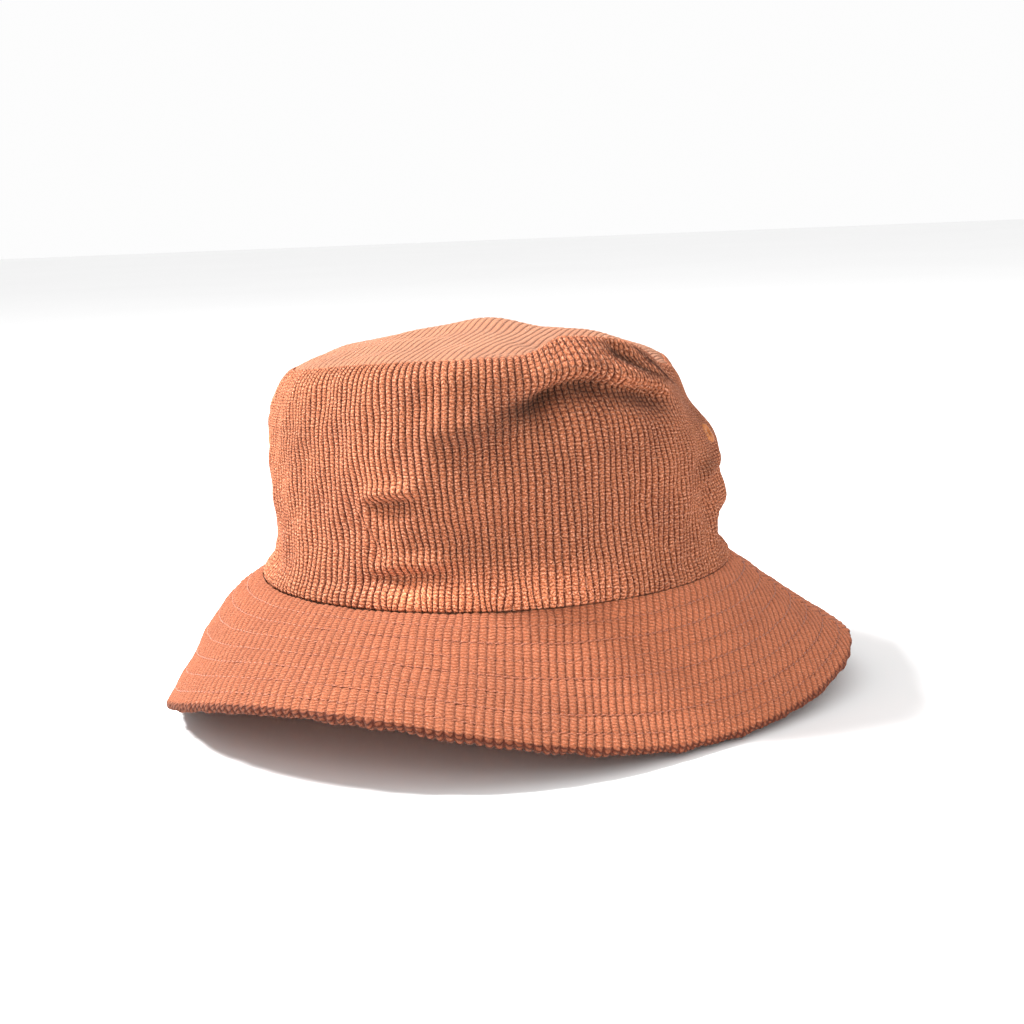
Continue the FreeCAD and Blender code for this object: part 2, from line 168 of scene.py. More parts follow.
slump = {
    "sides": ((-90, 55), (90, 42), (180, 40)),  # bearing and spread: left, right, back
    "sideIn": (4.2, 2.2, 0.6),  # slack sides stand inside the seam
    "sideDrop": (12.5, 17.0, 4.0),  # and the tip's edge sinks there
    "freeFrom": 0.5, "freeFull": 9,  # heights where the seam lets go of the cloth
    "waistIn": 2.2, "waistHeight": 17, "waistTall": 14,  # a little more just over it, on the left
    "roundIn": 4.0, "roundFrom": 66, "roundFull": 88,  # the left shoulder is rounder than the front
    "ridges": ((-9, 10, 2.8), (-35, 15, -1.6), (16, 16, -2.4)),  # upright folds: bearing, spread, out
    "ridgeFrom": 12, "ridgeFull": 40,
    "frontIn": 2.2, "frontBearing": 5, "frontSpread": 42,  # the front's foot flares onto the brim
    "frontHeight": 21, "frontTall": 13,
    "uneven": ((0.9, 55, 3), (0.45, 23, 4)), "cloth": 94,  # size, span and seed; mm to a radian
    "cornerIn": 13.5, "cornerBearing": 84, "cornerSpread": 40,  # the fallen right shoulder
    "cornerFrom": 44, "cornerFull": 84,
    "farDrop": 7.0, "farBearing": 138, "farSpread": 32, "dropFrom": 34,
    "overStarts": 10, "overFull": 27, "overFades": 54, "overEnds": 88,  # wall rolled over the tip
    "overIn": 12.0, "overInFrom": 74, "overInFull": 87,
    "overUp": 7.4, "overUpFrom": 55, "overUpFull": 78, "overReach": 0.94, "overWide": 0.04,
    "hollowDown": 8.5, "hollowX": 46.0, "hollowY": -34.0, "hollowWide": 27.0, "hollowLong": 36.0,
    "hollowEdge": 0.9, "hollowFade": 0.14, "hollowFrom": 76, "hollowFull": 84,
    "tentUp": 4.0, "tentX": -4.0, "tentY": 18.0, "tentSize": 17.0,  # soft peak of the tip
    "neatSpread": 17, "neatShare": 0.9, "neatTo": 48, "neatEnds": 66,  # behind the care label
    "topOver": 2, "tentDeep": 14,
}
# each fold: bearing and height of its middle, half its length, rise per mm of length, half its
# width, depth, and how much the cloth swells above it
foldValues = ("bearing", "height", "half", "rise", "width", "depth", "lip")
folds = [dict(zip(foldValues, values)) for values in (
    (24, 72.5, 18, 0.09, 3.4, 9.0, 0.3),
    (43, 70.5, 22, -0.09, 2.5, 6.0, 0.35),
    (12, 66, 16, 0.3, 6.0, 3.0, 0.4),
    (3, 57, 17, 0.08, 3.6, 4.2, 0.5),
    (47, 81, 12, -0.14, 1.5, 2.6, 0.7),
    (51, 77, 11, -0.1, 1.4, 1.8, 0.6),
    (-20, 37, 11, 0.12, 2.0, 3.4, 0.7),
    (-27, 26, 8, -1.2, 2.4, 1.2, 0.6),
    (-15, 12, 19, 0.1, 2.4, 2.8, 0.6),
    (4, 30, 14, 0.3, 4.0, 1.2, 0.4),
    (72, 31, 15, 0.18, 3.6, 3.0, 0.7),
    (90, 13, 22, -0.05, 5.5, 4.5, 0.6),
    (-100, 58, 24, 0.2, 5.0, 3.0, 0.6),
    (-140, 30, 20, -0.3, 5.0, 2.6, 0.6),
    (150, 62, 30, 0.12, 4.5, 3.6, 0.7),
    (125, 34, 18, 0.35, 4.5, 2.8, 0.6),
)]
# painted shade under the folds and in the dents, and painted light on the front's foot and the left side:
# each spot's value is added to 1 and scales the colour
paintedShadingValues = ("bearing", "height", "half", "rise", "width", "tone")
paintedShadingSpots = [dict(zip(paintedShadingValues, values)) for values in (
    (20, 70.0, 21, 0.09, 4.0, -0.68),
    (43, 68.5, 21, -0.09, 3.4, -0.58),
    (45, 80.5, 12, -0.14, 1.8, -0.55),
    (52, 76.5, 11, -0.1, 1.4, -0.35),
    (5, 62.0, 22, 0.12, 5.5, -0.36),
    (-19, 36.5, 11, 0.12, 1.8, -0.3),
    (-15, 11.0, 15, 0.1, 1.8, -0.35),
    (68, 38.0, 10, 0.1, 4.0, -0.32),
    (3, 5.0, 46, 0.0, 8.5, 0.85),
    (-26, 50.0, 22, 0.0, 24.0, 0.14),
)]


def placeAround(theta, height, spot):
    # mm along a fold from its middle, and its half widths above the fold
    along = turnBetween(theta, spot["bearing"]) * (halfWidth + halfLength) / 2
    return along, (height - spot["height"] - spot["rise"] * along) / spot["width"]


def paintedCrownShading(theta, height):
    # painted light and shade: the spots summed into one colour scale for each point
    tone = 0
    for shade in paintedShadingSpots:
        along, above = placeAround(theta, height, shade)
        tone = tone + shade["tone"] * np.exp(-(along / shade["half"]) ** 4 - above ** 2)
    return tone


def overShare(theta):
    bearing = np.degrees(turnBetween(theta, 0))
    return (ease(bearing, slump["overStarts"], slump["overFull"])
            * (1 - ease(bearing, slump["overFades"], slump["overEnds"])))


def foldMoves(theta, height, fold):
    # how far the cloth swells outward in a fold, and how far the cloth over it slides down
    along, above = placeAround(theta, height, fold)
    above = np.where(above < 0, above / 2.4, above)  # steep over the fold, gentle under it
    window = fold["depth"] * np.exp(-(along / fold["half"]) ** 4)
    swelling = fold["lip"] * bell(above, 1.9, 1.2)
    return window * (swelling - bell(above, 0, 1)), 0.14 * window * bell(above, 1.0, 0.9)


def step(value, name):
    # rises from 0 to 1 between the heights that slump gives this name
    return ease(value, slump[name + "From"], slump[name + "Full"])


def wallMoves(theta, z, sides):
    # how far the wall stands out of its neat place, and how far folds pull it down
    left = sides[0]
    free = step(z, "free")
    out = -free * sum(size * side for size, side in zip(slump["sideIn"], sides))
    corner = around(theta, slump["cornerBearing"], slump["cornerSpread"])
    out = out - slump["cornerIn"] * corner * step(z, "corner")
    waist = slump["waistIn"] * bell(z, slump["waistHeight"], slump["waistTall"])
    out = out - left * (waist + slump["roundIn"] * step(z, "round"))
    ridge = sum(size * around(theta, bearing, spread) for bearing, spread, size in slump["ridges"])
    out = out + free * ridge * step(z, "ridge")
    flare = around(theta, slump["frontBearing"], slump["frontSpread"])
    out = out - slump["frontIn"] * flare * bell(z, slump["frontHeight"], slump["frontTall"])
    out = out + free * sum(size * ripple(theta * slump["cloth"], z, span, seed)
                           for size, span, seed in slump["uneven"])
    tuck = 0
    for fold in folds:
        depth, slide = foldMoves(theta, z, fold)
        out = out + free * depth
        tuck = tuck + free * slide
    out = out - slump["overIn"] * overShare(theta) * step(z, "overIn")
    neat = slump["neatShare"] * around(theta, 180, slump["neatSpread"])
    return out * (1 - neat * (1 - ease(z, slump["neatTo"], slump["neatEnds"]))), tuck


def topMoves(theta, x, y, z, reach, sides):
    # how far the tip and its edge rise
    top = crown["height"] + slump["topOver"]
    sink = sum(size * side for size, side in zip(slump["sideDrop"], sides))
    sink = sink + slump["farDrop"] * around(theta, slump["farBearing"], slump["farSpread"])
    drop = ease(z, slump["dropFrom"], top) * reach ** 3 * sink
    fromPeak = np.hypot(x - slump["tentX"], y - slump["tentY"]) / slump["tentSize"]
    lift = slump["tentUp"] * np.exp(-fromPeak ** 2) * ease(z, crown["height"] - slump["tentDeep"], top)
    roll = bell(reach, slump["overReach"], slump["overWide"])
    lift = lift + overShare(theta) * slump["overUp"] * roll * step(z, "overUp")
    fromHollow = np.hypot((x - slump["hollowX"]) / slump["hollowWide"],
                          (y - slump["hollowY"]) / slump["hollowLong"])
    hollow = np.exp(-fromHollow ** 2) * ease(slump["hollowEdge"] - reach, 0, slump["hollowFade"])
    return lift - slump["hollowDown"] * hollow * step(z, "hollow") - drop


def crumple(points):
    # moves points of the neat crown to where the soft one lies
    x, y, z = points[..., 0], points[..., 1], points[..., 2]
    theta = np.arctan2(x / halfWidth, -y / halfLength)
    reach = np.hypot(x / halfWidth, y / halfLength)
    sides = [around(theta, bearing, spread) for bearing, spread in slump["sides"]]
    out, tuck = wallMoves(theta, z, sides)
    moved = points + outward(theta) * (out * reach ** 2.5)[..., None]
    moved[..., 2] += topMoves(theta, x, y, z, reach, sides) - tuck * reach ** 4
    return moved


def wallProfile(rise, inset=0.0):
    # inset, height and lean of the neat wall, `rise` mm of cloth above the brim seam
    wall = crown["height"] - crown["shoulder"]
    turn = np.clip((rise - wall) / crown["shoulder"], 0, pi / 2)
    tilt = math.atan2(crown["lean"], wall)
    flatRise = np.clip(rise, None, wall)
    reachIn = crown["lean"] * flatRise / wall + crown["shoulder"] * (1 - np.cos(turn))
    height = flatRise + crown["shoulder"] * np.sin(turn)
    facing = tilt * ease(rise, 0, 4) + turn * (1 - tilt / (pi / 2))
    return reachIn + inset * np.cos(facing), height - inset * np.sin(facing), facing


def wallPoint(theta, rise, lift):
    # place on the neat wall, `lift` mm out of its face
    reachIn, height, facing = wallProfile(rise)
    point = seamPoint(theta) + outward(theta) * (lift * np.cos(facing) - reachIn)[..., None]
    point[..., 2] += height + lift * np.sin(facing)
    return point


wallRise = crown["height"] - crown["shoulder"] + crown["shoulder"] * pi / 2


# Corduroy: rounded ribs with narrow grooves.

rib = {
    "crownPitch": 2.68, "brimPitch": 2.85, "tipPitch": 2.55,
    "crownHeight": 0.75, "brimHeight": 0.46, "tipHeight": 0.38,
    "phases": (0.0, 0.1, 0.27, 0.5, 0.73, 0.9),  # where a rib is cut into strips
    "underPhases": (0.0, 0.16, 0.5, 0.84),
}


def ribColumns(low, high, pitch, phases):
    # rib numbers across the cloth, with a cut at each phase, from low to high in mm
    first, last = math.floor(low / pitch), math.ceil(high / pitch)
    numbers = np.array([n + phase for n in range(first, last + 1) for phase in phases])
    numbers = numbers[(numbers * pitch > low + 0.2) & (numbers * pitch < high - 0.2)]
    return np.concatenate([[low / pitch], numbers, [high / pitch]])


def ribRelief(number, along, height):
    phase = number - np.floor(number)
    rounded = 1 - np.abs(2 * phase - 1) ** 2.6
    uneven = 1 + 0.14 * ripple(number * 2.6, along, 7, 11) + 0.1 * ripple(number * 5.2, along, 3.1, 12)
    return height * rounded * uneven


crownCloth = {
    "turnedEdge": 4.0,  # seam allowance folded in at the foot and the head
    "rowStep": 0.98,
    "footDip": (0.55, 1.0), "headDip": (0.45, 1.2), "sideDip": (0.9, 1.3),  # seams: depth, width
    "sunk": 0.25, "footFold": 0.9, "headFold": 0.6,
    "sway": ((0.28, 26), (0.1, 8)),  # size and span of the ribs' wander
    "footSway": 0.9, "footSpan": 17, "footFade": 7,  # more of it over the brim seam
    "skews": {"crownFront": 6.5, "crownBack": -2.0},       # how far the ribs lean at their foot
    "skewArc": -38, "skewWide": 34, "skewFrom": 12, "skewTo": 62,
    "eyeletHole": 2.0,
    "sideRowFoot": 4, "sideRowLength": 72, "sideRowSink": 0.55,
}
eyelet = {
    "bearings": {"right_front": 78, "right_back": 102, "left_back": -102, "left_front": -78},
    "rise": 53, "hole": 1.6, "outer": 4.1, "proud": 0.75, "stitches": 34, "grip": 2.2,
}


def clothMarks(number, along, seed, path=0.0):
    # whole ribs are added so that no two pieces share the same unevenness
    return np.stack(np.broadcast_arrays(number + 200 * seed, along, path), axis=-1)


def seamDip(distance, dip):
    # how far a seam pulls the cloth in, this many mm away from it
    depth, width = dip
    return depth * bell(distance, 0, width)


def crownPanel(name, node, middle, seed):
    # half of the crown's wall
    numbers = ribColumns(-quarter, quarter, rib["crownPitch"], rib["phases"])
    edge = crownCloth["turnedEdge"]
    rises = np.linspace(0, wallRise, int(wallRise / crownCloth["rowStep"]))
    number, rise = np.meshgrid(numbers, rises)
    arc = number * rib["crownPitch"]
    wobble = sum(size * ripple(arc, rise, span, seed + k)
                 for k, (size, span) in enumerate(crownCloth["sway"]))
    footSway = crownCloth["footSway"] * np.exp(-rise / crownCloth["footFade"])
    wobble = wobble + footSway * ripple(arc, rise, crownCloth["footSpan"], seed + 2)
    skewHere = bell(arc, crownCloth["skewArc"], crownCloth["skewWide"])
    skew = skewHere * (1 - ease(rise, crownCloth["skewFrom"], crownCloth["skewTo"]))
    wobble = wobble + crownCloth["skews"][name] * skew
    sideGap = quarter - np.abs(arc)
    wobble = wobble * ease(sideGap, 0, 5)
    lift = ribRelief(number, rise, rib["crownHeight"]) - crownCloth["sunk"]
    lift = lift - seamDip(rise, crownCloth["footDip"]) - seamDip(wallRise - rise, crownCloth["headDip"])
    lift = lift - seamDip(sideGap, crownCloth["sideDip"])
    theta = middle + bearingAt(arc + wobble)
    points = wallPoint(theta, rise, lift)
    foot, head = points[0].copy(), points[-1].copy()
    inward = -outward(theta[0])
    turned = []
    for share in (0.25, 0.6, 1.0):
        footIn, headIn = inward * crownCloth["footFold"], inward * crownCloth["headFold"]
        turned.append((foot + footIn * share + np.array([0, 0, edge * share ** 1.5 - 0.5]),
                       head + headIn * share - np.array([0, 0, edge * share])))
    points = np.concatenate([[low for low, _ in reversed(turned)], points, [high for _, high in turned]])
    alongs = np.concatenate([[-3.0, -2.0, -1.0], rises, wallRise + np.array([1.0, 2.0, 3.0])])
    # painted shade under the folds and painted light on the front's foot, taken from the neat heights before
    # the crown is crumpled
    tone = paintedCrownShading(np.broadcast_to(theta[:1], points.shape[:2]), points[..., 2])
    points = crumple(points)
    marks = clothMarks(number[0], alongs[:, None], seed)
    piece = gridPiece(name, points, marks, eyeletHoles(points), tone)
    return finishPiece(piece, "corduroy", node)


def eyeletPlace(bearing):
    # centre and outward axis of an eyelet on the soft wall
    theta = np.array([radians(bearing)] * 3) + np.array([0, 0.02, 0])
    rise = eyelet["rise"] + np.array([0, 0, 2.0])
    spot, beside, above = crumple(wallPoint(theta, rise, np.zeros(3)))
    return spot, unit(np.cross(beside - spot, above - spot))


def eyeletHoles(points, depth=0.0):
    # marks the points that the eyelets cut out of a cloth `depth` mm behind the wall's face
    holes = np.zeros(points.shape[:2], dtype=bool)
    for bearing in eyelet["bearings"].values():
        spot, axis = eyeletPlace(bearing)
        holes |= np.linalg.norm(points - (spot - axis * depth), axis=-1) < crownCloth["eyeletHole"]
    return holes


# Tip of the crown.

tip = {
    "turn": 9,  # degrees that the ribs run off the front-back line
    "edgeInset": 10.5, "rowStep": 1.25,
    "edgeDip": (0.6, 1.4), "sunk": 0.2, "waves": 0.5, "waveSpan": 45,
}


def ovalReach(x, y, inset):
    return np.hypot(x / (halfWidth - inset), y / (halfLength - inset))


def domeHeight(share):
    return crown["domeRise"] * (1 - np.clip(share, 0, 1) ** 1.7)


def tipPanel():
    halfX, halfY = halfWidth - tip["edgeInset"], halfLength - tip["edgeInset"]
    turn = radians(tip["turn"])
    # the oval seen along the ribs: half its width, and where each rib enters and leaves it
    wide = math.hypot(halfX * cos(turn), halfY * sin(turn))
    numbers = ribColumns(-wide + 0.05, wide - 0.05, rib["tipPitch"], rib["phases"])
    across = numbers * rib["tipPitch"]
    a = (sin(turn) / halfX) ** 2 + (cos(turn) / halfY) ** 2
    b = 2 * across * sin(turn) * cos(turn) * (1 / halfX ** 2 - 1 / halfY ** 2)
    c = (across * cos(turn) / halfX) ** 2 + (across * sin(turn) / halfY) ** 2 - 1
    root = np.sqrt(np.clip(b * b - 4 * a * c, 0, None))
    rows = int(2 * halfY / tip["rowStep"])
    share = (1 - np.cos(np.linspace(0, pi, rows)))[:, None] / 2
    share = 0.5 * share + 0.5 * np.linspace(0, 1, rows)[:, None]
    along = (-b - root) / (2 * a) + share * root / a
    x = across * cos(turn) + along * sin(turn)
    y = -across * sin(turn) + along * cos(turn)
    reach = ovalReach(x, y, tip["edgeInset"])
    edgeGap = np.clip(1 - reach, 0, None) * halfX
    lift = ribRelief(numbers[None, :], along, rib["tipHeight"]) - tip["sunk"]
    lift = lift - seamDip(edgeGap, tip["edgeDip"])
    lift = lift + tip["waves"] * ripple(x, y, tip["waveSpan"], 21) * ease(edgeGap, 0, 12)
    z = crown["height"] + domeHeight(reach) + lift
    points = crumple(np.stack([x, y, z], axis=-1))
    piece = gridPiece("tipPanel", points, clothMarks(numbers[None, :], along, 20))
    area = pi * halfX * halfY * mm * mm
    return finishPiece(piece, "tipCorduroy", "tip_panel", area)


# The brim, cut as half rings and sewn to the crown.

brim = {
    "width": 57, "slope": 42.4,
    "leanSize": 3.5, "leanWay": 148, "ovalSize": 2.6, "ovalWay": 68, "waveSize": 10.6, "waveWay": 34.5,
    "curlMean": -4.5, "curlSide": 7.9,
    "thickness": 3.7,  # both cloths and the stiffening
    "stiffening": 0.3,
    "rows": 86, "underRows": 46,
    "rowFirst": 7, "rowPitch": 7.3, "rowCount": 7, "rowWide": 0.75,
    "pressFlat": 0.4, "pressDeep": 0.18, "underFlat": 0.55, "underDeep": 0.22,  # under the stitches
    "seamDip": (0.5, 1.2), "sideDip": (0.6, 1.2), "underSideDip": (0.7, 1.2),
    "underFrom": -2.0, "underEnds": 0.3, "stiffFrom": 0.4, "stiffEnds": 0.6,
    "uneven": 0.5, "unevenSpan": 45,
    "leftUp": 2.8, "leftBearing": -97, "leftSpread": 30, "leftEnds": 0.72,  # share of the width
    "frontUp": 3.7, "frontBearing": -3, "frontSpread": 38, "frontFrom": 0.3,
    "sway": 0.22, "swaySpan": 24, "seamSway": 0.5, "seamFade": 6, "seamSpan": 15,
    "waves": 0.22, "waveSpan": 12, "rimWaves": 0.25, "rimSpan": 9, "rimPlump": 0.9,
    "folded": 2.4,  # cloth turned in under the rim
    # painted light and shade of the brim: overall, on the left and on the right
    "tone": -0.06, "leftTone": -0.12, "rightTone": 0.42,
}


def brimSlope(theta):
    swings = (brim["leanSize"] * np.cos(theta - radians(brim["leanWay"]))
              + brim["ovalSize"] * np.cos(2 * (theta - radians(brim["ovalWay"])))
              + brim["waveSize"] * np.cos(3 * (theta - radians(brim["waveWay"]))))
    return np.radians(brim["slope"] + swings)


def brimPoint(theta, along, depth):
    # place `along` mm from the crown seam and `depth` mm under the brim's upper face
    share = along / brim["width"]
    curl = np.radians(brim["curlMean"] + brim["curlSide"] * np.sin(theta))
    chord = along * np.sinc(curl * share / pi)
    mean = brimSlope(theta) + curl * (1 - share)
    here = brimSlope(theta) + curl * (1 - 2 * share)
    reach = chord * np.cos(mean) - depth * np.sin(here)
    point = seamPoint(theta) + outward(theta) * reach[..., None]
    point[..., 2] -= chord * np.sin(mean) + depth * np.cos(here)
    return point


flatInner = seamRound / (2 * pi) / cos(radians(brim["slope"]))
flatTurn = quarter / flatInner  # half the angle of each half ring, laid flat
rimRound = brim["thickness"] / 2
rimPath = brim["width"] - rimRound


def brimGrid(outer, phases, rows, inner=0.0):
    # ribs run straight across the flat half ring: rib numbers, flat radius past the seam, turn
    low, high = flatInner + inner, flatInner + outer
    wide = high * sin(flatTurn) - 0.02
    numbers = ribColumns(-wide, wide, rib["brimPitch"], phases)
    across = numbers * rib["brimPitch"]
    onArc = np.abs(across) < low * sin(flatTurn)
    start = np.where(onArc, np.sqrt(np.clip(low ** 2 - across ** 2, 0, None)),
                     np.abs(across) / math.tan(flatTurn))
    stop = np.sqrt(high ** 2 - across ** 2)
    share = np.linspace(0, 1, rows)[:, None] ** 0.92
    along = start + (stop - start) * share
    across = np.broadcast_to(across, along.shape)
    return numbers[None, :], along, np.hypot(across, along) - flatInner, np.arctan2(across, along)


def brimSway(theta, path):
    # soft unevenness of the whole brim: how far it sinks, negative where it swells
    share = np.clip(path / brim["width"], 0, 1)
    uneven = ripple(60 * np.sin(theta), 60 * np.cos(theta), brim["unevenSpan"], 35)
    sway = brim["uneven"] * uneven * ease(share, 0.1, 1)
    left = around(theta, brim["leftBearing"], brim["leftSpread"])
    sway = sway - brim["leftUp"] * left * np.sin(pi * np.clip(share / brim["leftEnds"], 0, 1))
    front = around(theta, brim["frontBearing"], brim["frontSpread"])
    return sway - brim["frontUp"] * front * ease(share, brim["frontFrom"], 1)


def rowPress(path):
    # 1 on a row of stitching, falling to 0 beside it
    press = 0
    for row in range(brim["rowCount"]):
        centre = brim["rowFirst"] + row * brim["rowPitch"]
        press = press + bell(path, centre, brim["rowWide"])
    return press


def paintedBrimShading(theta):
    # painted light and shade: the brim's colour is darkened on the left and lightened on the right, standing
    # in for how the light falls
    side = np.sin(theta)
    right = brim["rightTone"] * ease(side, 0.05, 0.65)
    return right + brim["tone"] + brim["leftTone"] * ease(-side, 0.1, 0.6)


def brimUpper(name, node, middle, seed):
    outer = rimPath + pi * rimRound + brim["folded"]
    number, along, path, turn = brimGrid(outer, rib["phases"], brim["rows"])
    arc = turn * flatInner
    sideGap = (flatTurn - np.abs(turn)) * (flatInner + path)
    nearSeam = brim["seamSway"] * np.exp(-path / brim["seamFade"])
    wobble = brim["sway"] * ripple(arc, path, brim["swaySpan"], seed)
    wobble = wobble + nearSeam * ripple(arc, path, brim["seamSpan"], seed + 1)
    theta = middle + bearingAt(arc + wobble * ease(sideGap, 0, 5))
    press = rowPress(path)
    lift = ribRelief(number, along, rib["brimHeight"]) * (1 - brim["pressFlat"] * press) - 0.1
    lift = lift - brim["pressDeep"] * press
    lift = lift - seamDip(path, brim["seamDip"]) - seamDip(sideGap, brim["sideDip"])
    lift = lift + brim["waves"] * ripple(arc, path, brim["waveSpan"], seed + 3)
    turned = np.clip((path - rimPath) / rimRound, 0, pi)
    folded = np.clip(path - rimPath - pi * rimRound, 0, None)
    rimWaves = brim["rimWaves"] * np.sin(turned) * ripple(arc, 0 * arc, brim["rimSpan"], seed + 4)
    plump = rimRound + lift * (1 + brim["rimPlump"] * np.sin(turned)) + rimWaves
    reach = np.where(path < rimPath, path, rimPath + plump * np.sin(turned) - folded)
    depth = np.where(path < rimPath, -lift, rimRound - plump * np.cos(turned))
    points = brimPoint(theta, reach, depth + brimSway(theta, path))
    # painted light and shade across the brim, stored on its points
    piece = gridPiece(name, points, clothMarks(number, along, seed, path), tone=paintedBrimShading(theta))
    return brimFinish(piece, node, outer, 0)


def brimUnder(name, node, middle, seed):
    inner, outer = brim["underFrom"], rimPath - brim["underEnds"]
    number, along, path, turn = brimGrid(outer, rib["underPhases"], brim["underRows"], inner)
    arc = turn * flatInner
    sideGap = (flatTurn - np.abs(turn)) * (flatInner + path)
    press = rowPress(path)
    lift = ribRelief(number, along, rib["brimHeight"]) * (1 - brim["underFlat"] * press) - 0.12
    lift = lift - brim["underDeep"] * press
    lift = lift - seamDip(sideGap, brim["underSideDip"]) - seamDip(outer - path, brim["seamDip"])
    theta = middle + bearingAt(arc)
    points = brimPoint(theta, path, brim["thickness"] - 0.1 + lift + brimSway(theta, path))
    piece = gridPiece(name, points, clothMarks(number, along, seed, path))
    return brimFinish(piece, node, outer, inner)


def brimStiffening(name, node, middle, seed):
    inner, outer = brim["stiffFrom"], rimPath - brim["stiffEnds"]
    arcs = np.linspace(-flatTurn, flatTurn, 150) * flatInner
    arc, path = np.meshgrid(arcs, np.linspace(inner, outer, 40))
    theta = middle + bearingAt(arc)
    centre = brim["thickness"] / 2 + brimSway(theta, path)
    faces = [brimPoint(theta, path, centre + side * brim["stiffening"] / 2) for side in (-1, 1)]
    points, marks = sandwich(*faces, clothMarks(arc, path, seed))
    piece = meshPiece(name, points[0], points[1], marks)
    return brimFinish(piece, node, outer, inner, "canvas")


def brimFinish(piece, node, outer, inner, finish="brimCorduroy"):
    high, low = (flatInner + outer) * mm, (flatInner + inner) * mm
    flat = (2 * high * sin(flatTurn), high - low * cos(flatTurn))
    return finishPiece(piece, finish, node, flatTurn * (high ** 2 - low ** 2))


# Sewing thread, one stitch at a time.

thread = {"radius": 0.24, "brimStitch": 2.9, "seamStitch": 2.2, "gap": 0.55, "sides": 6, "rings": 5,
          "rise": 0.16, "dive": 0.3, "thinEnds": 0.35, "footUp": 0.4, "footSink": 0.9,
          "headDown": 0.5, "headSink": 0.8, "bandSink": 0.15}


def stitchPiece(name, node, place, length, stitch="seamStitch"):
    # place(distance along the row, lift) gives points; each stitch dives into the cloth at its ends
    count = max(1, int(length / thread[stitch]))
    pitch = length / count
    share = np.linspace(0, 1, thread["rings"])
    draw = np.random.default_rng(len(name) + count)
    starts = np.arange(count) * pitch + draw.uniform(-0.12, 0.12, count)
    distance = starts[:, None] + thread["gap"] / 2 + share * (pitch - thread["gap"])
    lift = thread["rise"] * np.sin(pi * share) ** 0.6 - thread["dive"] * np.abs(2 * share - 1) ** 4
    centre = place(distance, np.broadcast_to(lift, distance.shape))
    up = unit(place(distance, lift + 0.5) - centre)
    across = np.cross(unit(np.gradient(centre, axis=1)), up)
    turn = np.linspace(0, 2 * pi, thread["sides"], endpoint=False)
    swell = np.sin(pi * (0.08 + 0.84 * share)) ** 0.5
    thick = thread["radius"] * (thread["thinEnds"] + (1 - thread["thinEnds"]) * swell)
    ring = across[:, :, None] * np.cos(turn)[:, None] + up[:, :, None] * np.sin(turn)[:, None]
    points = centre[:, :, None] + ring * thick[:, None, None]
    sides, rings = thread["sides"], thread["rings"]
    one = gridFaces(rings, sides, ringColumns=True)
    last = (rings - 1) * sides
    caps = [[0, k + 1, k] for k in range(1, sides - 1)]
    tails = [[last, last + k, last + k + 1] for k in range(1, sides - 1)]
    triangles = np.concatenate([one[:, [0, 1, 2]], one[:, [0, 2, 3]], caps, tails])
    faces = (triangles[None] + (np.arange(count) * rings * sides)[:, None, None]).reshape(-1, 3)
    marks = clothMarks(distance[:, :, None], turn, 0, starts[:, None, None])
    piece = meshPiece(name, points.reshape(-1, 3), faces, marks.reshape(-1, 3))
    return finishPiece(piece, "thread", node)


def brimRow(number):
    path = brim["rowFirst"] + (number - 1) * brim["rowPitch"]
    turns = np.linspace(-pi, pi, 721)
    ring = brimPoint(turns, np.full(721, float(path)), np.zeros(721))
    travelled = np.concatenate([[0], np.cumsum(np.linalg.norm(np.diff(ring, axis=0), axis=1))])

    def place(distance, lift):
        theta = np.interp(distance % travelled[-1], travelled, turns)
        arc = np.interp(theta, bearingTable, arcTable)
        sway = 0.12 * np.sin(arc / rib["brimPitch"] * 2 * pi) + 0.15 * ripple(arc, 0 * arc, 19, number)
        return brimPoint(theta, path + sway, brimSway(theta, path) + 0.06 - lift)

    name, node = f"brimStitches{number}", f"brim_stitch_row_{number}"
    return stitchPiece(name, node, place, travelled[-1], "brimStitch")


def wallRing(rise, sink):
    def place(distance, lift):
        theta = bearingAt(distance)
        return crumple(wallPoint(theta, np.full_like(theta, rise), lift - sink))
    return place


def sideRow(theta):
    def place(distance, lift):
        rise = distance + crownCloth["sideRowFoot"]
        return crumple(wallPoint(np.full_like(distance, theta), rise, lift - crownCloth["sideRowSink"]))
    return place


# Inside: lining, sweatband and labels.

inside = {
    "liningInset": 1.9, "liningFoot": 1.0, "bandInset": 2.2, "bandCloth": 0.8, "bandFoot": -2.3,
    "bandHead": 32.6, "bandStitchDown": 2, "badgeFoot": 35.6, "badgeHeight": 17, "badgeWidth": 42,
    "pucker": 0.3, "puckerSpan": 16, "puckerFull": 36,
    "drawnIn": 1.9, "drawnFrom": 46, "drawnFull": 70,  # the lining hangs further in at its head
    "rollIn": 2.8, "rollRise": 79, "rollTall": 8,  # and more where the wall rolls over the tip
    "tipGap": 0.3, "tipDown": 3.9, "tipPucker": 0.35, "tipSpan": 24,
    "bandSway": 0.25, "bandSpan": 30, "labelCurl": 0.9, "labelBow": 0.25,
}


def liningSide(name, node, middle, seed):
    arcs = np.linspace(-quarter, quarter, 260)
    top = wallRise - 0.1
    rises = np.linspace(inside["liningFoot"], top, 84)
    arc, rise = np.meshgrid(arcs, rises)
    theta = middle + bearingAt(arc)
    pucker = ripple(arc, rise, inside["puckerSpan"], seed) * ease(quarter - np.abs(arc), 0, 8)
    lift = inside["pucker"] * (pucker - 1) * ease(rise, inside["liningFoot"], inside["puckerFull"])
    lift = lift - inside["drawnIn"] * ease(rise, inside["drawnFrom"], inside["drawnFull"])
    rolled = bell(rise, inside["rollRise"], inside["rollTall"])
    lift = lift - inside["rollIn"] * overShare(theta) * rolled
    points = crumple(wallPoint(theta, rise, lift - inside["liningInset"]))
    holes = eyeletHoles(points, inside["liningInset"])
    piece = gridPiece(name, points, clothMarks(arc, rise, seed), holes)
    return finishPiece(piece, "lining", node)


